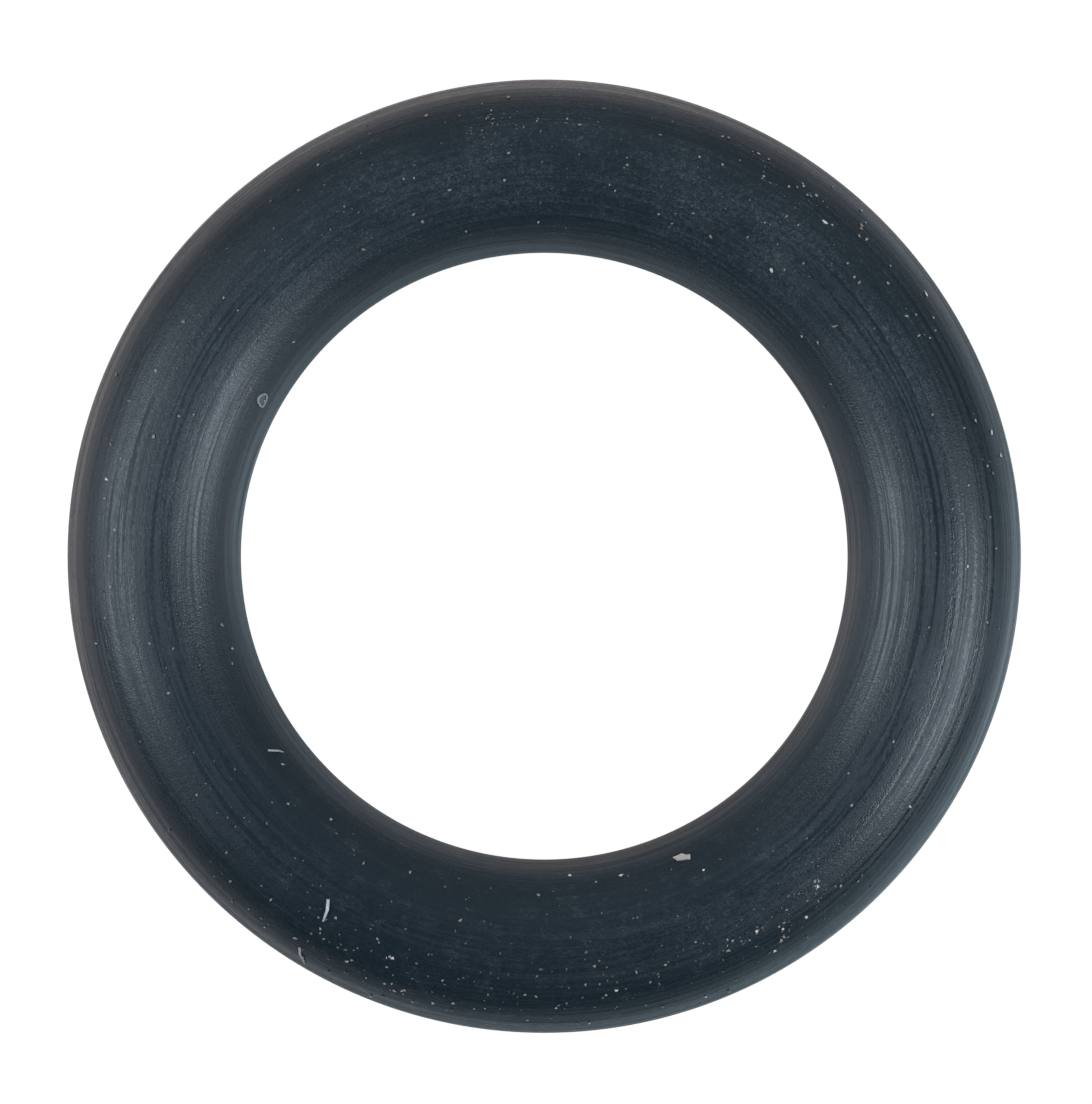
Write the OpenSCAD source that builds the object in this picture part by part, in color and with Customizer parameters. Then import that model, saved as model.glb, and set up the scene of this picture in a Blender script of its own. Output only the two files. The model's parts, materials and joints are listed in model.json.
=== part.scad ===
// Rubber o-ring: a sealing ring of round section, moulded in one piece.
// The two halves of the mould met on the plane z = 0. The thin flash that was squeezed out between them
// is trimmed flush, which leaves a narrow straight band round the hole and another round the outside.
// Sizes are in millimetres. The origin is the centre of the ring, and +Z is its axis.

/* [Ring] */
// Diameter of the hole, between the trimmed bands
hole_d = 7; // [2:0.1:60]
// Thickness of the rubber cord that forms the ring, from the inner band to the outer one
section_d = 2; // [1:0.05:8]

/* [Parting line] */
// Height of the narrow straight band where the flash was trimmed off
band_h = 0.12; // [0.04:0.01:0.4]

/* [Colour] */
// Colour of the rubber
rubber_colour = "#222d34"; // ["#222d34":black nitrile, "#7a2f22":red silicone, "#4a3a2c":brown fluorocarbon]

/* [Hidden] */

// Radius of the middle of the cord, from the axis of the ring
cord_r = (hole_d + section_d) / 2;
// Radius of the round section. The bands cut a little off it, so that section_d is left between them
round_r = norm([section_d, band_h]) / 2;
// Facets round the section and round the whole ring
section_facets = 96;
ring_facets = 180;

// The section of the cord, upright, with its middle at the origin
module cord_section() {
    intersection() {
        circle(r = round_r, $fn = section_facets);
        square([section_d, 2 * section_d], center = true);
    }
}

// The whole ring
module o_ring() {
    color(rubber_colour)
    rotate_extrude($fn = ring_facets)
        translate([cord_r, 0])
            cord_section();
}

o_ring();
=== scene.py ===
import json
import math
import random

import bpy
from mathutils import Matrix, Vector


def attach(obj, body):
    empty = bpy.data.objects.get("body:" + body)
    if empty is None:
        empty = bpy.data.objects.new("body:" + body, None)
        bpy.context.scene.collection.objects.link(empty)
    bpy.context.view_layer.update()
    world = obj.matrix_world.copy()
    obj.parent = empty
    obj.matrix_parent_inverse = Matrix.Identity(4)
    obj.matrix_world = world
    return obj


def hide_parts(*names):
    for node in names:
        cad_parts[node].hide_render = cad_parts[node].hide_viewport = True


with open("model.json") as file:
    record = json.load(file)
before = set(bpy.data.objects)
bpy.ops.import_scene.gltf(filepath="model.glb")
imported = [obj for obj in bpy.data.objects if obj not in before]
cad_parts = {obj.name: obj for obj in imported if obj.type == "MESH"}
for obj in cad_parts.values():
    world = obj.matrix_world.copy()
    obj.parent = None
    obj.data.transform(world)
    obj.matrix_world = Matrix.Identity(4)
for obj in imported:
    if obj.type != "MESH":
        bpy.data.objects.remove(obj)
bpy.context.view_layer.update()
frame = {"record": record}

# Lengths are in metres. UM and MM turn sizes read in micrometres and millimetres into metres.
MM = 0.001
UM = 0.000001

# The ring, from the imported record
MOUNTS = {mount["name"]: mount["dims"] for mount in frame["record"]["mounts"]}
HOLE_R = MOUNTS["hole"]["r_mm"] * MM
OUTER_R = MOUNTS["outside"]["r_mm"] * MM
BAND_H = MOUNTS["hole"]["length_mm"] * MM
CORD_R = (HOLE_R + OUTER_R) / 2
HALF_WIDTH = (OUTER_R - HOLE_R) / 2
ROUND_R = math.hypot(HALF_WIDTH, BAND_H / 2)

# The photograph: its frame, the ring's outside in it, and where the ring's middle lies
PHOTO_WIDE = 1092
PHOTO_HIGH = 1104
OUTLINE_R_PX = 476.65
MIDDLE_X_PX = 544.25
MIDDLE_Y_PX = 556.2
PIXEL = OUTER_R / OUTLINE_R_PX

rng = random.Random(7)


def clear_selection():
    if bpy.context.mode != "OBJECT":
        bpy.ops.object.mode_set(mode="OBJECT")
    bpy.ops.object.select_all(action="DESELECT")


def name_piece(piece, name):
    piece.name = name
    piece.data.name = name
    return piece


def select_points(piece, chosen):
    """Selects the points of a mesh for which chosen(place) holds, and goes into edit mode."""
    if bpy.context.mode != "OBJECT":
        bpy.ops.object.mode_set(mode="OBJECT")
    mesh = piece.data
    mesh.polygons.foreach_set("select", [False] * len(mesh.polygons))
    mesh.edges.foreach_set("select", [False] * len(mesh.edges))
    mesh.vertices.foreach_set("select", [bool(chosen(v.co)) for v in mesh.vertices])
    bpy.ops.object.mode_set(mode="EDIT")
    bpy.ops.mesh.select_mode(type="VERT")


# Shader helpers

def new_material(name):
    material = bpy.data.materials.new(name)
    material.use_nodes = True
    material.node_tree.nodes.clear()
    return material, material.node_tree


def put(socket, value, tree):
    if isinstance(value, bpy.types.NodeSocket):
        tree.links.new(value, socket)
    else:
        socket.default_value = value


def add(tree, kind, inputs=None, **settings):
    """Adds a shader node, with its settings and its inputs by name or number."""
    node = tree.nodes.new(kind)
    for name, value in settings.items():
        setattr(node, name, value)
    for key, value in (inputs or {}).items():
        put(node.inputs[key], value, tree)
    return node


def maths(tree, operation, a, b=0.0, c=0.0):
    node = add(tree, "ShaderNodeMath", {0: a, 1: b, 2: c}, operation=operation)
    return node.outputs[0]


def multiply(tree, product, *factors):
    for factor in factors:
        product = maths(tree, "MULTIPLY", product, factor)
    return product


def lean(tree, x, y, x_share, y_share):
    """How far a direction leans one way: the sum of x and y, each times its share."""
    return maths(tree, "MULTIPLY_ADD", x, x_share, maths(tree, "MULTIPLY", y, y_share))


def remap(tree, value, low, high, to_low=0.0, to_high=1.0):
    inputs = {"Value": value, "From Min": low, "From Max": high, "To Min": to_low, "To Max": to_high}
    return add(tree, "ShaderNodeMapRange", inputs, interpolation_type="SMOOTHSTEP").outputs["Result"]


def blend_colours(tree, share, first, second):
    node = add(tree, "ShaderNodeMix", {"Factor": share}, data_type="RGBA")
    put(node.inputs["A"], first, tree)
    put(node.inputs["B"], second, tree)
    return node.outputs["Result"]


def noise(tree, vector, scale, detail, rough, w=None):
    inputs = {"Vector": vector, "Scale": scale, "Detail": detail, "Roughness": rough}
    if w is not None:
        inputs["W"] = w
    node = add(tree, "ShaderNodeTexNoise", inputs, noise_dimensions="3D" if w is None else "4D")
    return node.outputs["Fac"]


def centre(tree, value):
    """Noise runs from 0 to 1. Less a half, it lies about nought."""
    return maths(tree, "SUBTRACT", value, 0.5)


# The rubber

RUBBER_COLOUR = (0.0008, 0.0108, 0.0176, 1.0)
DUST_COLOUR = (0.28, 0.335, 0.365, 1.0)

# How deep the marks go
RING_DEPTH = 4.8 * UM
LINE_DEPTH = 3.2 * UM
GROOVE_DEPTH = 0.5 * UM
HAIR_DEPTH = 2.6 * UM
RIB_DEPTH = 5.0 * UM
SCORE_DEPTH = 3.6 * UM
MOTTLE_DEPTH = 2.0 * UM
GRIT_DEPTH = 1.6 * UM
GRAIN_DEPTH = 2.2 * UM

# The faint shoulder: where it begins, as a share of the round's radius, and how far it falls per radius
SHOULDER_AT = 0.81
SHOULDER_DEPTH = 60.0 * UM

# The share of dust in the colour: in the thinnest and the thickest clouds, and in the patches in front
THIN_DUST = 0.011
THICK_DUST = 0.036
PATCH_DUST = 0.021

# Roughness of the shiniest and the dullest streaks
SHINY = 0.35
DULL = 0.52
# What is added to it or taken off it in places
CREST_STREAKS = 0.16
GROOVES_DULLER = 0.13
LEFT_DULLER = 0.05
FLANK_SHINIER = 0.09
RIGHT_SHINIER = 0.03


class RingCoordinates:
    """Where a point lies on the ring: round the ring, round the section, and the two together."""

    def __init__(self, tree):
        self.tree = tree
        self.place = add(tree, "ShaderNodeTexCoord").outputs["Object"]
        split = add(tree, "ShaderNodeSeparateXYZ", {0: self.place})
        x, y, z = split.outputs
        flat = add(tree, "ShaderNodeCombineXYZ", {0: x, 1: y}).outputs[0]
        reach = add(tree, "ShaderNodeVectorMath", {0: flat}, operation="LENGTH").outputs["Value"]
        self.round_x = maths(tree, "DIVIDE", x, reach)
        self.round_y = maths(tree, "DIVIDE", y, reach)
        out = maths(tree, "SUBTRACT", reach, CORD_R)
        self.section_out = maths(tree, "DIVIDE", out, ROUND_R)
        self.section_up = maths(tree, "DIVIDE", z, ROUND_R)
        self.off_crest = maths(tree, "ABSOLUTE", self.section_out)

    def streaks(self, along, across, detail, rough):
        """Noise drawn out round the ring: how fine it is along the ring and across the section."""
        tree = self.tree
        a = maths(tree, "MULTIPLY", self.round_x, along)
        b = maths(tree, "MULTIPLY", self.round_y, along)
        c = maths(tree, "MULTIPLY", self.section_up, across)
        d = maths(tree, "MULTIPLY", self.section_out, across)
        vector = add(tree, "ShaderNodeCombineXYZ", {0: a, 1: b, 2: c}).outputs[0]
        return noise(tree, vector, 1.0, detail, rough, w=d)


class RubberMarks:
    """The marks in the rubber: long ones from the turned mould, and its own grain."""

    def __init__(self, tree, ring):
        # Round the ring: wide rings, ribs, lines, fine scores, short hairs, and grooves with sharp edges
        rings = centre(tree, ring.streaks(0.9, 8.0, 2.0, 0.5))
        self.ribs = centre(tree, ring.streaks(1.6, 12.0, 1.0, 0.5))
        lines = centre(tree, ring.streaks(2.2, 21.0, 1.0, 0.6))
        self.scores = centre(tree, ring.streaks(2.6, 36.0, 1.0, 0.6))
        self.hairs = centre(tree, ring.streaks(85.0, 55.0, 1.0, 0.7))
        self.grooves = remap(tree, ring.streaks(2.0, 26.0, 1.0, 0.5), 0.38, 0.44, 1.0, 0.0)
        # All over: a soft mottle, specks, grit and the finest grain
        self.mottle = centre(tree, noise(tree, ring.place, 3200.0, 3.0, 0.7))
        self.specks = noise(tree, ring.place, 14000.0, 2.0, 0.75)
        self.grit = centre(tree, noise(tree, ring.place, 32000.0, 1.0, 0.7))
        self.grain = noise(tree, ring.place, 48000.0, 1.0, 0.8)

        # Rings and lines are strong on the right and faint at the top, the bottom and the upper right.
        # The rings are fainter on the inner side
        sideways = remap(tree, maths(tree, "ABSOLUTE", ring.round_x), 0.5, 0.93, 0.25, 1.0)
        rightwards = remap(tree, ring.round_x, 0.0, 0.8, 1.0, 1.6)
        upper_right = lean(tree, ring.round_x, ring.round_y, 0.6, 0.8)
        fainter = remap(tree, upper_right, 0.6, 1.0, 1.0, 0.6)
        strength = multiply(tree, sideways, rightwards, fainter)
        inner_side = remap(tree, ring.section_out, -0.5, 0.0, 0.75, 1.1)
        self.rings = multiply(tree, rings, strength, inner_side)
        self.lines = multiply(tree, lines, strength)


def relief_height(tree, ring, marks):
    """How high the rubber stands, in metres."""
    # The wide marks fade out towards the rims, and the small ones fade a little
    wide = maths(tree, "MULTIPLY", marks.rings, RING_DEPTH)
    wide = maths(tree, "MULTIPLY_ADD", marks.mottle, MOTTLE_DEPTH, wide)
    wide = multiply(tree, wide, remap(tree, ring.off_crest, 0.6, 0.9, 1.0, 0.15))
    small = maths(tree, "MULTIPLY", marks.lines, LINE_DEPTH)
    small = maths(tree, "MULTIPLY_ADD", marks.hairs, HAIR_DEPTH, small)
    small = maths(tree, "MULTIPLY_ADD", marks.grain, GRAIN_DEPTH, small)
    small = maths(tree, "MULTIPLY_ADD", marks.grit, GRIT_DEPTH, small)
    small = maths(tree, "MULTIPLY_ADD", marks.grooves, -GROOVE_DEPTH, small)
    small = multiply(tree, small, remap(tree, ring.off_crest, 0.6, 0.9, 1.0, 0.7))
    height = maths(tree, "ADD", wide, small)
    # Ribs and scores run round the flanks and the rims
    ribs = multiply(tree, remap(tree, ring.off_crest, 0.6, 0.85, 0.0, RIB_DEPTH), marks.ribs)
    height = maths(tree, "ADD", height, ribs)
    scores = multiply(tree, remap(tree, ring.off_crest, 0.5, 0.75, 0.0, SCORE_DEPTH), marks.scores)
    height = maths(tree, "ADD", height, scores)
    # A faint shoulder runs round the inner side
    past_shoulder = maths(tree, "MULTIPLY_ADD", ring.section_out, -1.0, -SHOULDER_AT)
    past_shoulder = maths(tree, "MAXIMUM", past_shoulder, 0.0)
    return maths(tree, "MULTIPLY_ADD", past_shoulder, -SHOULDER_DEPTH, height)


def dust_share(tree, ring, marks):
    """The share of dust in the colour: most on top and uneven where the marks are. Towards the back it
    is raised, which makes the rubber lighter there.
    """
    settled = remap(tree, ring.section_up, 0.7, 1.0, 0.55, 1.0)
    lower_left = lean(tree, ring.round_x, ring.round_y, -0.64, -0.77)
    settled = multiply(
        tree, settled,
        remap(tree, ring.section_out, -0.6, 0.0, 0.85, 1.0),
        # Towards the back this share is raised, which makes the rubber lighter there
        remap(tree, ring.round_y, 0.0, 1.0, 0.85, 1.6),
        remap(tree, ring.round_y, -1.0, -0.5, 0.8, 1.0),
        remap(tree, lower_left, 0.4, 1.0, 1.0, 0.3),
        remap(tree, ring.section_out, 0.2, 0.45, 1.0, 0.82),
    )
    clouds = noise(tree, ring.place, 900.0, 5.0, 0.68)
    dust = multiply(tree, settled, remap(tree, clouds, 0.36, 0.63, THIN_DUST, THICK_DUST))
    # In front it also lies in patches, and on the flanks the scores streak it
    patches = remap(tree, noise(tree, ring.place, 4200.0, 4.0, 0.65), 0.5, 0.64, 0.0, PATCH_DUST)
    dust = maths(tree, "MULTIPLY_ADD", patches, remap(tree, ring.round_y, -0.9, -0.5, 1.0, 0.0), dust)
    streaked = remap(tree, ring.off_crest, 0.3, 0.6, 1.0, 5.0)
    streaked = maths(tree, "MULTIPLY_ADD", marks.scores, streaked, 1.0)
    return multiply(
        tree, dust,
        remap(tree, marks.grain, 0.36, 0.64, 0.4, 1.6),
        remap(tree, marks.grit, -0.15, 0.15, 0.6, 1.4),
        remap(tree, marks.rings, -0.45, 0.45, 0.3, 1.7),
        remap(tree, marks.lines, -0.2, 0.2, 0.4, 1.6),
        remap(tree, marks.hairs, -0.2, 0.2, 0.7, 1.3),
        maths(tree, "MAXIMUM", streaked, 0.1),
        remap(tree, marks.specks, 0.38, 0.64, 0.6, 1.5),
    )


def rubber_roughness(tree, ring, marks):
    """How dull the rubber is. The lines, the hairs and the mottle streak the sheens of the lamps."""
    streaks = maths(tree, "MULTIPLY_ADD", marks.mottle, 0.2, marks.lines)
    streaks = maths(tree, "MULTIPLY_ADD", marks.hairs, 0.6, streaks)
    streaks = multiply(
        tree, streaks,
        remap(tree, ring.section_out, -0.5, 0.0, 0.5, 1.0),
        remap(tree, ring.off_crest, 0.2, 0.45, 1.5, 1.0),
    )
    rough = remap(tree, streaks, -0.2, 0.2, SHINY, DULL)
    rough = maths(tree, "MULTIPLY_ADD", marks.grooves, GROOVES_DULLER, rough)
    # The streaks are stronger on the crest at the right
    crest = multiply(tree, remap(tree, ring.off_crest, 0.2, 0.45, CREST_STREAKS, 0.0), ring.round_x)
    rough = maths(tree, "MULTIPLY_ADD", streaks, maths(tree, "MAXIMUM", crest, 0.0), rough)
    # The outer side is duller on the left and shinier on the right, and its flank is shinier all round
    duller = remap(tree, ring.section_out, 0.1, 0.4, 0.0, LEFT_DULLER)
    rough = maths(tree, "ADD", rough, remap(tree, ring.round_x, -0.95, -0.5, duller, 0.0))
    flank = remap(tree, ring.section_out, 0.48, 0.66, 0.0, FLANK_SHINIER)
    rough = maths(tree, "SUBTRACT", rough, flank)
    shinier = remap(tree, ring.section_out, 0.05, 0.3, 0.0, RIGHT_SHINIER)
    return maths(tree, "SUBTRACT", rough, remap(tree, ring.round_x, 0.5, 0.9, 0.0, shinier))


def rubber_material():
    material, tree = new_material("moulded_rubber")
    ring = RingCoordinates(tree)
    marks = RubberMarks(tree, ring)
    height = relief_height(tree, ring, marks)
    bump = add(tree, "ShaderNodeBump", {"Strength": 1.0, "Distance": 1.0, "Height": height})
    dust = dust_share(tree, ring, marks)
    shader = add(tree, "ShaderNodeBsdfPrincipled", {
        "Base Color": blend_colours(tree, dust, RUBBER_COLOUR, DUST_COLOUR),
        "Roughness": rubber_roughness(tree, ring, marks),
        "IOR": 1.6,
        "Anisotropic": 0.5,
        "Anisotropic Rotation": 0.25,
        "Tangent": add(tree, "ShaderNodeTangent", direction_type="RADIAL", axis="Z").outputs[0],
        "Normal": bump.outputs[0],
    })
    add(tree, "ShaderNodeOutputMaterial", {"Surface": shader.outputs[0]})
    return material


# The ring itself

SECTION_POINTS = 320
RING_STEPS = 288
# The strip beside each band is flat, between the lip and where the round begins
RIM_FLAT = 0.093 * MM
RIM_LIP = 0.024 * MM
RIM_CUTS = 6
# Points nearer to each other than this are merged
MERGE_DISTANCE = 0.5 * UM
# A point nearer to a place than this is at that place
AT_PLACE = 0.1 * UM


def flatten_rim(ring, side, face):
    """Straightens the section between the lip next to the band and the point where its round begins."""
    def in_flat(place):
        out = (place.x - CORD_R) * side
        return HALF_WIDTH - RIM_FLAT < out < HALF_WIDTH - RIM_LIP and place.z * face > 0

    select_points(ring, in_flat)
    bpy.ops.mesh.dissolve_verts()
    bpy.ops.object.mode_set(mode="OBJECT")
    corners = ring.data.vertices
    pairs = [[corners[index].co.copy() for index in edge.vertices] for edge in ring.data.edges]
    first, last = max(pairs, key=lambda pair: (pair[0] - pair[1]).length)
    select_points(ring, lambda place: min((place - first).length, (place - last).length) < AT_PLACE)
    bpy.ops.mesh.subdivide(number_cuts=RIM_CUTS)


def make_ring():
    """The round section is drawn upright, its two bands are flattened, and it is spun round the axis."""
    clear_selection()
    bpy.ops.mesh.primitive_circle_add(vertices=SECTION_POINTS, radius=ROUND_R, location=(CORD_R, 0, 0),
                                      rotation=(math.pi / 2, 0, 0))
    ring = name_piece(bpy.context.object, "rubber_ring")
    bpy.ops.object.transform_apply(location=True, rotation=True, scale=True)
    for side in (-1, 1):
        band_x = CORD_R + side * HALF_WIDTH
        select_points(ring, lambda place: abs(place.x - band_x) < 0.1 * MM and abs(place.z) < BAND_H / 2)
        bpy.ops.transform.resize(value=(0, 1, 1), center_override=(band_x, 0, 0))
        for face in (-1, 1):
            flatten_rim(ring, side, face)
    bpy.ops.object.mode_set(mode="OBJECT")
    turn = ring.modifiers.new("turn", "SCREW")
    turn.angle = 2 * math.pi
    turn.steps = RING_STEPS
    turn.render_steps = RING_STEPS
    turn.use_merge_vertices = True
    turn.merge_threshold = MERGE_DISTANCE
    bpy.ops.object.modifier_apply(modifier=turn.name)
    bpy.ops.object.mode_set(mode="EDIT")
    bpy.ops.mesh.select_all(action="SELECT")
    bpy.ops.mesh.remove_doubles(threshold=MERGE_DISTANCE)
    bpy.ops.mesh.normals_make_consistent(inside=False)
    bpy.ops.object.mode_set(mode="OBJECT")
    bpy.ops.object.shade_smooth()
    return ring


ring = make_ring()
ring.data.materials.append(rubber_material())
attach(ring, "root")
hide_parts("o_ring")


# The dust, the fibres and the flakes that lie on the ring

def plain_material(name, colour, roughness):
    material, tree = new_material(name)
    shader = add(tree, "ShaderNodeBsdfPrincipled", {"Base Color": colour, "Roughness": roughness})
    add(tree, "ShaderNodeOutputMaterial", {"Surface": shader.outputs[0]})
    return material


CHALK = plain_material("white_dust", (0.66, 0.62, 0.55, 1.0), 0.6)
GREY_DUST = plain_material("grey_dust", (0.30, 0.31, 0.31, 1.0), 0.7)
TAN_DUST = plain_material("tan_dust", (0.27, 0.22, 0.18, 1.0), 0.7)
FAINT_DUST = plain_material("faint_dust", (0.125, 0.12, 0.11, 1.0), 0.7)
TAN = plain_material("tan_flake", (0.60, 0.49, 0.44, 1.0), 0.5)
LINT = plain_material("pale_lint", (0.56, 0.60, 0.60, 1.0), 0.4)
# The clear flake's edge gets a pale colour as a painted highlight
FLAKE_EDGE_PAINTED_GLINT = plain_material("clear_flake_edge_painted_glint", (0.36, 0.40, 0.42, 1.0), 0.3)
DULL_LINT = plain_material("dull_lint", (0.38, 0.36, 0.34, 1.0), 0.5)
FLAKE_SKIN = plain_material("clear_flake_skin", (0.11, 0.13, 0.15, 1.0), 0.25)


def on_ring(angle, radius):
    """The frame of a spot on top of the ring: X runs round the ring and Z out of the rubber."""
    turn = math.radians(angle)
    out = radius * MM - CORD_R
    up = math.sqrt(ROUND_R ** 2 - out ** 2)
    away = Vector((math.cos(turn), math.sin(turn), 0))
    along = Vector((-math.sin(turn), math.cos(turn), 0))
    outwards = (away * out + Vector((0, 0, up))) / ROUND_R
    across = outwards.cross(along)
    place = away * radius * MM + Vector((0, 0, up))
    return Matrix.Translation(place) @ Matrix((along, across, outwards)).transposed().to_4x4()


# A grain's thickness and how high its middle lies, as shares of its width
GRAIN_THICKNESS = 0.7
GRAIN_LIFT = 0.2
# How far the points of a lump are knocked out of place
LUMP_DENTS = 0.24 * MM


def make_lump(seed):
    """The pattern of a grain of dust, a millimetre long: a ball of few faces, knocked out of shape."""
    clear_selection()
    bpy.ops.mesh.primitive_ico_sphere_add(subdivisions=1, radius=0.5 * MM, location=(0, 0, 0))
    lump = name_piece(bpy.context.object, "grain")
    select_points(lump, lambda place: True)
    bpy.ops.transform.vertex_random(offset=LUMP_DENTS, seed=seed)
    bpy.ops.mesh.normals_make_consistent(inside=False)
    bpy.ops.object.mode_set(mode="OBJECT")
    return lump


LUMPS = [make_lump(seed) for seed in (3, 5, 8, 13)]


def lay_grains(name, grains, material):
    """Lays grains on the ring and joins them into one piece.

    A grain is its angle, its radius in mm, its length and width in um, and its turn.
    """
    pieces = []
    for count, (angle, radius, length, width, turn) in enumerate(grains):
        source = LUMPS[count % len(LUMPS)]
        piece = source.copy()
        piece.data = source.data.copy()
        bpy.context.collection.objects.link(piece)
        # A lump is 1000 um long and wide
        shape = Matrix.Diagonal((length / 1000, width / 1000, GRAIN_THICKNESS * width / 1000, 1))
        spin = Matrix.Rotation(math.radians(turn), 4, "Z")
        lift = Matrix.Translation((0, 0, GRAIN_LIFT * width * UM))
        piece.data.transform(on_ring(angle, radius) @ spin @ lift @ shape)
        pieces.append(piece)
    clear_selection()
    for piece in pieces:
        piece.select_set(True)
    bpy.context.view_layer.objects.active = pieces[0]
    bpy.ops.object.join()
    bpy.ops.object.shade_smooth()
    dust = name_piece(bpy.context.object, name)
    dust.data.materials.clear()
    dust.data.materials.append(material)
    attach(dust, "root")


def make_thread(name, spots, thickness, material):
    """A fibre: a round end drawn out from spot to spot, and narrowed at the last.

    A spot is its angle, its radius in mm and its lift in um. The thickness is in um.
    """
    points = [on_ring(angle, radius) @ Vector((0, 0, lift * UM)) for angle, radius, lift in spots]
    clear_selection()
    way = (points[1] - points[0]).to_track_quat("Z", "Y")
    bpy.ops.mesh.primitive_circle_add(vertices=8, radius=thickness / 2 * UM, fill_type="NGON",
                                      location=points[0], rotation=way.to_euler())
    thread = name_piece(bpy.context.object, name)
    bpy.ops.object.transform_apply(location=True, rotation=True, scale=True)
    bpy.ops.object.mode_set(mode="EDIT")
    bpy.ops.mesh.select_all(action="SELECT")
    for start, end in zip(points, points[1:]):
        bpy.ops.mesh.extrude_region_move(TRANSFORM_OT_translate={"value": end - start})
    narrower = 0.6
    bpy.ops.transform.resize(value=(narrower, narrower, narrower))
    bpy.ops.mesh.select_all(action="SELECT")
    bpy.ops.mesh.normals_make_consistent(inside=False)
    bpy.ops.object.mode_set(mode="OBJECT")
    bpy.ops.object.shade_smooth()
    thread.data.materials.append(material)
    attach(thread, "root")


def make_tan_flake():
    """A thin flake below the hole: pointed at one end, square at the other, with a hump on one side."""
    clear_selection()
    length = 0.21 * MM
    width = 0.06 * MM
    thickness = 0.022 * MM
    dents = 0.009 * MM
    bpy.ops.mesh.primitive_grid_add(x_subdivisions=4, y_subdivisions=2, size=length, location=(0, 0, 0))
    flake = name_piece(bpy.context.object, "tan_flake")
    select_points(flake, lambda place: True)
    bpy.ops.transform.resize(value=(1, width / length, 1))
    select_points(flake, lambda place: place.x > 0.49 * length)
    bpy.ops.transform.resize(value=(1, 0.15, 1), center_override=(0, -0.2 * width, 0))
    select_points(flake, lambda place: abs(place.x) < 0.1 * length and place.y < -0.4 * width)
    bpy.ops.transform.translate(value=(0, -0.35 * width, 0.1 * width))
    bpy.ops.mesh.select_all(action="SELECT")
    bpy.ops.mesh.extrude_region_move(TRANSFORM_OT_translate={"value": (0, 0, thickness)})
    bpy.ops.mesh.select_all(action="SELECT")
    bpy.ops.transform.vertex_random(offset=dents, seed=4)
    bpy.ops.mesh.normals_make_consistent(inside=False)
    bpy.ops.object.mode_set(mode="OBJECT")
    flake.data.transform(on_ring(294.5, 3.82) @ Matrix.Rotation(math.radians(155), 4, "Z"))
    flake.data.materials.append(TAN)
    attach(flake, "root")


def make_clear_flake():
    """A clear teardrop on the inner side, upper left: a thin skin with a thick rim, whose pale colour is
    a painted highlight.
    """
    spot = on_ring(151.0, 3.72) @ Matrix.Rotation(math.radians(42), 4, "Z")
    rim_width = 0.016 * MM
    oval = 0.72
    # The pointed end: from which share of the radius on it is narrowed, and how much
    taper = [(0.0, 0.92), (0.35, 0.82), (0.65, 0.7), (0.85, 0.5)]
    sheets = [
        ("flake_rim", 0.105 * MM, 0.020 * MM, FLAKE_EDGE_PAINTED_GLINT),
        ("flake_skin", 0.095 * MM, 0.008 * MM, FLAKE_SKIN),
    ]
    for name, radius, height, material in sheets:
        clear_selection()
        bpy.ops.mesh.primitive_circle_add(vertices=28, radius=radius, fill_type="NGON",
                                          location=(0, 0, 0))
        piece = name_piece(bpy.context.object, name)
        select_points(piece, lambda place: True)
        bpy.ops.transform.resize(value=(1, oval, 1))
        for share, narrower in taper:
            select_points(piece, lambda place: place.x > share * radius)
            bpy.ops.transform.resize(value=(1, narrower, 1), center_override=(0, 0, 0))
        blunt = -0.5 * radius
        select_points(piece, lambda place: place.x < blunt)
        bpy.ops.transform.resize(value=(0.5, 1, 1), center_override=(blunt, 0, 0))
        bpy.ops.mesh.select_all(action="SELECT")
        if piece.name == "flake_rim":
            bpy.ops.mesh.inset(thickness=rim_width)
            bpy.ops.mesh.delete(type="FACE")
            bpy.ops.mesh.select_all(action="SELECT")
        bpy.ops.mesh.extrude_region_move(TRANSFORM_OT_translate={"value": (0, 0, height)})
        bpy.ops.mesh.select_all(action="SELECT")
        bpy.ops.mesh.normals_make_consistent(inside=False)
        bpy.ops.object.mode_set(mode="OBJECT")
        piece.data.transform(spot)
        piece.data.materials.append(material)
        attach(piece, "root")


# Grains that the photograph shows one by one: angle, radius in mm, length and width in um, and turn
WHITE_GRAINS = [
    (51.5, 4.20, 80, 38, -40), (50.0, 5.02, 90, 34, 5), (34.5, 5.33, 115, 34, -15),
    (151.0, 3.69, 30, 25, 0), (249.3, 4.94, 56, 38, 20), (274.6, 3.69, 46, 36, 0),
    (283.5, 3.78, 75, 30, 0), (296.9, 4.05, 36, 30, 0), (299.5, 4.96, 60, 38, 50),
    (306.0, 5.13, 46, 40, 0), (302.6, 5.09, 46, 34, 40), (309.6, 4.93, 50, 36, 60),
    (325.6, 5.10, 60, 26, 75), (300.3, 5.26, 48, 30, 10), (290.1, 5.40, 40, 34, 0),
    (279.4, 5.06, 44, 34, 0), (15.5, 5.34, 85, 36, -20), (12.5, 5.38, 60, 36, 10),
    (358.6, 4.87, 60, 22, 0), (170.0, 5.11, 52, 36, 60),
]
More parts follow.
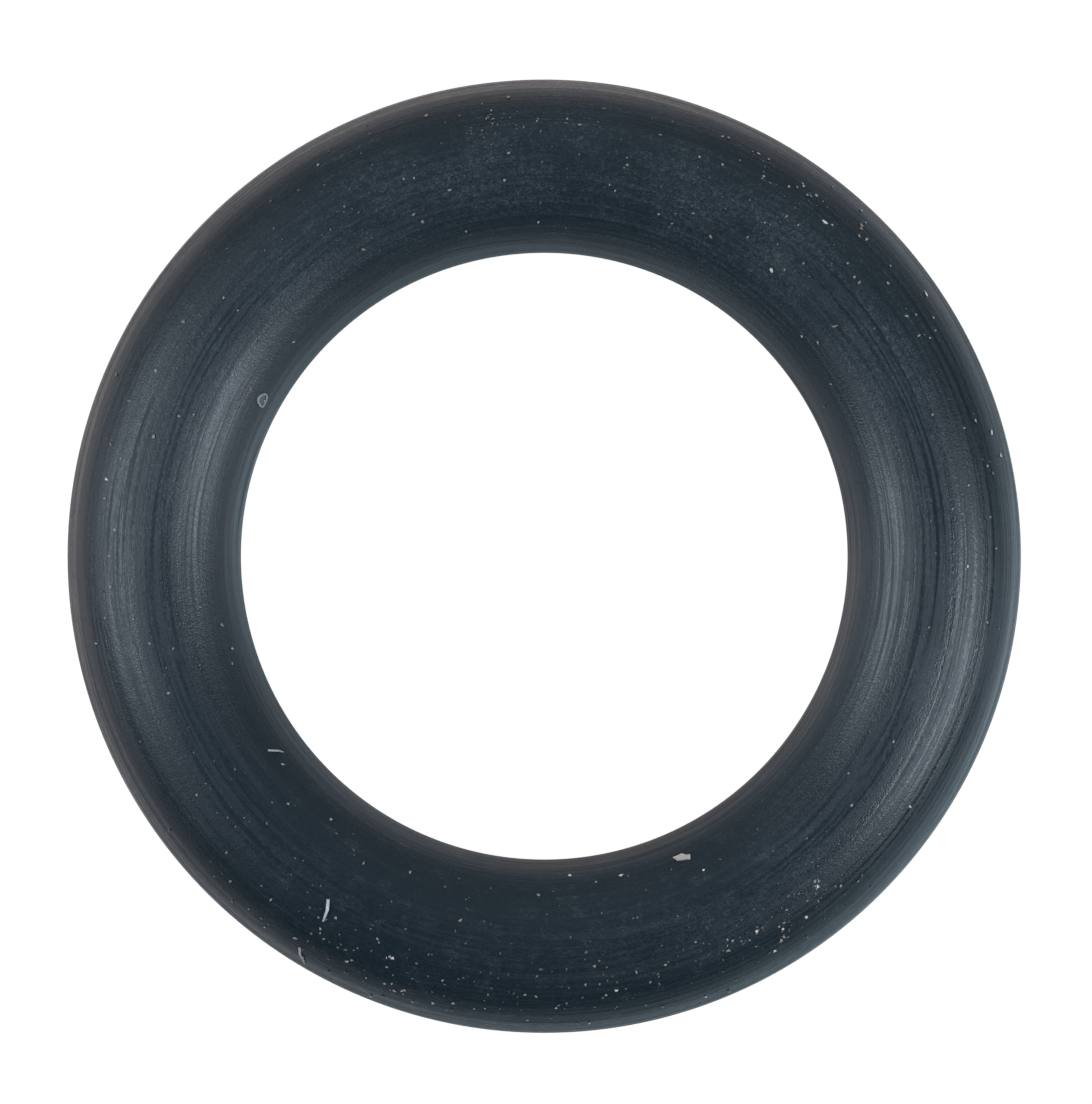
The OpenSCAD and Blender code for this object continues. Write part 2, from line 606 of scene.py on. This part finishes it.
# Smaller ones: angle and radius in mm, and the usual size in um
SMALL_GRAINS = [
    (1, 5.2), (5, 5.15), (9.5, 4.95), (10.5, 5.25), (11.5, 5.2), (17, 5.05), (17.5, 5.2), (20, 4.75),
    (29.5, 5.1), (30, 5.2), (30.5, 5), (31, 3.85), (31.5, 5.25), (33, 5.1), (33.5, 5), (38, 4),
    (38.5, 5.05), (40, 5.2), (40.5, 3.9), (41, 4.8), (42, 4.8), (44, 4.85), (44.5, 5.2), (46, 5.25),
    (47.5, 5.4), (48.5, 4.5), (49, 5.05), (50, 4.3), (52, 5.4), (52.5, 4.8), (53, 5.2), (54.5, 4.8),
    (55, 5.2), (56.5, 4.6), (56.5, 5.1), (57.5, 4.35), (60, 5.05), (60.5, 5.25), (62, 5.25),
    (62.5, 4.15), (65.5, 4.95), (66.5, 4.3), (67, 5.25), (69, 4.1), (71.5, 4.15), (78, 4.6), (91, 3.85),
    (94.5, 5.3), (96, 4.35), (103.5, 3.85), (104.5, 4.35), (105, 5.25), (109, 4.6), (110, 4.1),
    (120, 5.2), (120.5, 4.1), (139.5, 3.8), (147, 4.95), (154.5, 4.95), (157, 5.35), (158, 4.35),
    (159, 4.5), (163, 4.7), (165.5, 5.15), (167, 5), (172.5, 5.1), (176.5, 4.95), (180, 5), (184, 5),
    (188, 5.1), (191, 5.25), (192, 3.8), (192.5, 4.65), (194, 4.4), (196.5, 3.75), (199, 3.8),
    (200, 4.6), (214.5, 4.85), (218.5, 3.85), (223, 5), (224, 4.1), (226, 5.2), (231, 3.9),
    (231.5, 5.05), (233, 5.35), (238, 4.9), (239, 5), (239.5, 4.1), (240, 4.8), (244.5, 5.15),
    (247, 3.95), (248.5, 5.45), (249.5, 5.25), (253.5, 5.35), (256, 5.3), (257, 4.3), (258.5, 5.25),
    (262.5, 5.25), (267.5, 5.05), (269, 3.9), (271.5, 5.2), (275.5, 4.95), (275.5, 5.4), (277, 4.75),
    (278, 5.1), (279, 3.8), (282.5, 4.9), (284, 5.05), (286.5, 4.9), (293, 5.45), (295, 5),
    (301.5, 5.2), (312, 5.1), (314, 5.2), (321, 4.55), (324.5, 4.3), (332, 4.55), (349.5, 4.5),
    (351.5, 5.15), (354.5, 4.95),
]
SMALL_SIZE = 46
# Thin scraps and scratches: angle, radius in mm, length and width in um, and turn
SCRAPS = [
    (87.1, 4.99, 60, 22, 0), (82.4, 5.20, 70, 20, 10), (69.0, 4.22, 56, 22, 30),
    (269.5, 4.75, 60, 30, 0), (276.0, 4.58, 60, 34, 30), (12.0, 5.24, 50, 18, 80),
]
# Paler and browner ones
PALE_SCRAPS = [
    (159.5, 5.10, 90, 20, 100), (38.4, 4.26, 90, 26, 70), (188.7, 4.78, 70, 26, 20),
    (150.4, 3.89, 60, 20, 60), (347.7, 5.08, 95, 26, -40),
]
small = []
for angle, radius in SMALL_GRAINS:
    length = SMALL_SIZE * rng.uniform(0.8, 1.25)
    width = SMALL_SIZE * rng.uniform(0.5, 0.85)
    small.append((angle, radius, length, width, rng.uniform(0, 180)))
lay_grains("white_grains", WHITE_GRAINS, CHALK)
lay_grains("grey_grains", small[::2], GREY_DUST)
lay_grains("brown_grains", small[1::2], TAN_DUST)
lay_grains("scraps", SCRAPS, FAINT_DUST)
lay_grains("pale_scraps", PALE_SCRAPS, TAN_DUST)


# No random grain lies closer than this to the hole or to the outside, in mm
HOLE_MARGIN = 0.15
OUTER_MARGIN = 0.1


def scatter(middle, spread, radius, reach, count, size):
    """Random grains round one spot of the ring."""
    grains = []
    while len(grains) < count:
        angle = rng.gauss(middle, spread)
        away = rng.gauss(radius, reach)
        if HOLE_R / MM + HOLE_MARGIN < away < OUTER_R / MM - OUTER_MARGIN:
            length = size * rng.uniform(0.7, 1.8)
            grains.append((angle, away, length, length * rng.uniform(0.4, 0.75), rng.uniform(0, 180)))
    return grains


# Places with more dust: middle and spread in degrees, radius and reach in mm, number, and size in um
PALE_PLACES = [
    (262, 14, 5.2, 0.14, 12, 28), (283, 12, 5.1, 0.2, 8, 28), (306, 8, 5.0, 0.22, 12, 28),
    (309.6, 0.4, 4.93, 0.06, 8, 30), (302.4, 0.4, 5.1, 0.05, 9, 30), (299.5, 0.3, 4.96, 0.04, 4, 30),
    (294.9, 0.3, 4.98, 0.04, 4, 28), (250.6, 0.9, 5.28, 0.04, 8, 32), (249.0, 0.3, 4.96, 0.04, 4, 34),
    (96, 2.5, 5.0, 0.1, 8, 30), (60, 25, 4.9, 0.4, 14, 30), (130, 25, 4.8, 0.4, 10, 30),
    (235, 10, 5.0, 0.25, 14, 32), (0, 25, 4.9, 0.4, 8, 28), (45.5, 0.6, 5.2, 0.05, 5, 30),
    (54.5, 0.8, 5.18, 0.05, 5, 28),
]
FAINT_PLACES = [
    (280, 25, 5.05, 0.25, 90, 26), (240, 18, 5.0, 0.3, 60, 28), (307, 8, 4.95, 0.25, 50, 28),
    (96, 3, 5.0, 0.12, 26, 26), (60, 18, 4.9, 0.4, 50, 26), (120, 20, 4.7, 0.45, 50, 26),
    (195, 18, 4.5, 0.4, 30, 24), (10, 18, 4.6, 0.4, 30, 24), (270, 40, 4.2, 0.35, 60, 26),
]
pale = [grain for place in PALE_PLACES for grain in scatter(*place)]
faint = [grain for place in FAINT_PLACES for grain in scatter(*place)]
lay_grains("pale_grains", pale[::2], GREY_DUST)
lay_grains("tan_grains", pale[1::2], TAN_DUST)
lay_grains("faint_grains", faint, FAINT_DUST)
for lump in LUMPS:
    bpy.data.objects.remove(lump)

make_thread("kinked_fibre", [(237.8, 4.66, 10), (238.5, 4.77, 24), (238.8, 4.91, 10)], 38, LINT)
make_thread("curved_fibre", [(238.0, 5.31, 10), (238.5, 5.37, 18), (239.1, 5.40, 18), (239.6, 5.45, 6)],
            26, DULL_LINT)
make_thread("short_dash", [(215.1, 3.89, 8), (216.2, 3.80, 16), (216.9, 3.76, 6)], 26, DULL_LINT)
make_tan_flake()
make_clear_flake()


# The table, the room and the lamps

WHITE = (1.0, 1.0, 1.0, 1.0)
ROOM_COLOUR = (0.92, 1.0, 1.08, 1.0)
WARM_LIGHT = (1.20, 1.0, 0.92, 1.0)
COOL_LIGHT = (0.78, 1.03, 1.18, 1.0)

TABLE_SIZE = 0.6
PAPER_GREY = 0.9
# The table is paper that also glows. To the camera it is nearly all glow, which makes it white
SEEN_GLOW = 0.94
SEEN_WHITE = 1.06
# In the gloss of the rubber about half of it is glow
MIRRORED_GLOW = 0.55


def make_table():
    clear_selection()
    bpy.ops.mesh.primitive_plane_add(size=TABLE_SIZE, location=(0, 0, -ROUND_R))
    table = name_piece(bpy.context.object, "table_top")
    bpy.ops.object.transform_apply(location=True, rotation=True, scale=True)
    material, tree = new_material("white_table")
    path = add(tree, "ShaderNodeLightPath").outputs
    place = add(tree, "ShaderNodeTexCoord").outputs["Object"]
    away = add(tree, "ShaderNodeVectorMath", {0: place}, operation="LENGTH").outputs["Value"]
    split = add(tree, "ShaderNodeSeparateXYZ", {0: place}).outputs
    x, y = split["X"], split["Y"]
    # Inside the ring a painted pool of light lies along the line between the two lamps, and the rest is
    # painted shade
    pool = remap(tree, away, 0.9 * MM, 3.0 * MM, 1.55, 1.05)
    dim = remap(tree, away, 1.4 * MM, 2.3 * MM, 0.25, 0.75)
    off_line = maths(tree, "ABSOLUTE", maths(tree, "MULTIPLY_ADD", x, 0.22, y))
    inside = remap(tree, off_line, 0.3 * MM, 1.1 * MM, pool, dim)
    inside = multiply(tree, inside, remap(tree, x, -2.2 * MM, 2.2 * MM, 1.02, 0.82))
    # Outside the ring painted shade makes it dimmest in front, a little dim behind and far off, and
    # painted light makes it lighter at the sides
    nearer = maths(tree, "DIVIDE", lean(tree, x, y, -0.2, -1.0), away)
    behind = maths(tree, "DIVIDE", lean(tree, x, y, 0.77, 0.64), away)
    sideways = maths(tree, "DIVIDE", maths(tree, "ABSOLUTE", x), away)
    outside = multiply(
        tree,
        remap(tree, nearer, 0.45, 1.0, 0.94, 0.64),
        remap(tree, behind, 0.7, 1.0, 1.0, 0.76),
        remap(tree, away, 7.0 * MM, 10.0 * MM, 1.0, 0.82),
        remap(tree, sideways, 0.7, 1.0, 1.0, 1.15),
    )
    # The painted light and shade run across the ring from the inside to the outside, and fade out far
    # from it
    lit = remap(tree, away, HOLE_R, OUTER_R, inside, outside)
    lit = multiply(tree, lit, remap(tree, away, 12.0 * MM, 20.0 * MM, 1.0, 0.15))
    # The painted light on the table is warmer on one side and cooler on the other, and the camera sees
    # it white
    cooler = maths(tree, "DIVIDE", lean(tree, x, y, 0.75, -0.66), away)
    cooler = remap(tree, cooler, -0.8, 1.0)
    outer_tint = blend_colours(tree, cooler, WARM_LIGHT, COOL_LIGHT)
    inner_tint = blend_colours(tree, cooler, COOL_LIGHT, WARM_LIGHT)
    tint = blend_colours(tree, remap(tree, away, HOLE_R, OUTER_R), inner_tint, outer_tint)
    seen = path["Is Camera Ray"]
    mirrored = maths(tree, "MAXIMUM", path["Is Glossy Ray"], path["Is Transmission Ray"])
    share = maths(tree, "MULTIPLY", seen, SEEN_GLOW)
    share = maths(tree, "MULTIPLY_ADD", mirrored, MIRRORED_GLOW, share)
    # The paper's colour and its glow both carry the painted light and shade, so they show in the
    # rubber's reflections
    grey = maths(tree, "MULTIPLY", lit, PAPER_GREY)
    strength = maths(tree, "MAXIMUM", maths(tree, "MULTIPLY", seen, SEEN_WHITE), lit)
    paper = add(tree, "ShaderNodeBsdfDiffuse", {"Color": grey})
    colour = blend_colours(tree, seen, tint, WHITE)
    white = add(tree, "ShaderNodeEmission", {"Color": colour, "Strength": strength})
    both = add(tree, "ShaderNodeMixShader", {0: share, 1: paper.outputs[0], 2: white.outputs[0]})
    add(tree, "ShaderNodeOutputMaterial", {"Surface": both.outputs[0]})
    table.data.materials.append(material)


# How light the room is at the horizon and overhead, and what the back of it adds
ROOM_LOW = 0.05
ROOM_HIGH = 0.14
ROOM_BACK = 0.28


def make_room():
    """A plain room, lighter overhead and behind, and white where the camera looks past the table."""
    world = bpy.data.worlds.new("plain_room")
    bpy.context.scene.world = world
    world.use_nodes = True
    tree = world.node_tree
    tree.nodes.clear()
    direction = add(tree, "ShaderNodeTexCoord").outputs["Generated"]
    split = add(tree, "ShaderNodeSeparateXYZ", {0: direction})
    up = split.outputs["Z"]
    back = maths(tree, "MAXIMUM", split.outputs["Y"], 0.0)
    level = remap(tree, up, -0.1, 0.9, ROOM_LOW, ROOM_HIGH)
    level = maths(tree, "MULTIPLY_ADD", back, ROOM_BACK, level)
    seen = add(tree, "ShaderNodeLightPath").outputs["Is Camera Ray"]
    strength = maths(tree, "MAXIMUM", level, seen)
    colour = blend_colours(tree, seen, ROOM_COLOUR, WHITE)
    room = add(tree, "ShaderNodeBackground", {"Color": colour, "Strength": strength})
    add(tree, "ShaderNodeOutputWorld", {"Surface": room.outputs[0]})


LAMP_DISTANCE = 0.12
LAMP_COLOUR = (0.90, 1.0, 1.14)


def make_lamp(name, azimuth, elevation, half_wide, half_high, radiance):
    """A soft oval lamp that looks at the ring. Half its width and height are angles seen from there."""
    clear_selection()
    turn, rise = math.radians(azimuth), math.radians(elevation)
    way = Vector((math.cos(turn) * math.cos(rise), math.sin(turn) * math.cos(rise), math.sin(rise)))
    bpy.ops.object.light_add(type="AREA", location=way * LAMP_DISTANCE)
    lamp = bpy.context.object
    lamp.name = name
    lamp.rotation_mode = "QUATERNION"
    lamp.rotation_quaternion = way.to_track_quat("Z", "Y")
    lamp.data.shape = "ELLIPSE"
    lamp.data.size = 2 * LAMP_DISTANCE * math.tan(math.radians(half_wide))
    lamp.data.size_y = 2 * LAMP_DISTANCE * math.tan(math.radians(half_high))
    # The power that gives this radiance from the oval's area
    lamp.data.energy = radiance * math.pi * math.pi * lamp.data.size * lamp.data.size_y / 4
    lamp.data.color = LAMP_COLOUR
    lamp.visible_camera = False


CAMERA_HEIGHT = 0.3
SENSOR_WIDTH = 36.0


def make_camera():
    """Looks straight down. The ring's middle is a little off the middle of the picture."""
    clear_selection()
    side = (PHOTO_WIDE / 2 - MIDDLE_X_PX) * PIXEL
    forth = (MIDDLE_Y_PX - PHOTO_HIGH / 2) * PIXEL
    bpy.ops.object.camera_add(location=(side, forth, CAMERA_HEIGHT), rotation=(0, 0, 0))
    camera = bpy.context.object
    camera.name = "overhead_camera"
    camera.data.sensor_width = SENSOR_WIDTH
    camera.data.lens = SENSOR_WIDTH * CAMERA_HEIGHT / (PHOTO_HIGH * PIXEL)
    camera.data.clip_start = 0.01
    camera.data.clip_end = 2.0
    bpy.context.scene.camera = camera


make_table()
make_room()
make_lamp("left_lamp", azimuth=177.0, elevation=39.5, half_wide=18.0, half_high=12.8, radiance=8.2)
make_lamp("right_lamp", azimuth=343.7, elevation=39.8, half_wide=17.0, half_high=12.0, radiance=9.5)
make_camera()
bpy.context.scene.view_settings.view_transform = "Standard"

bpy.context.view_layer.update()
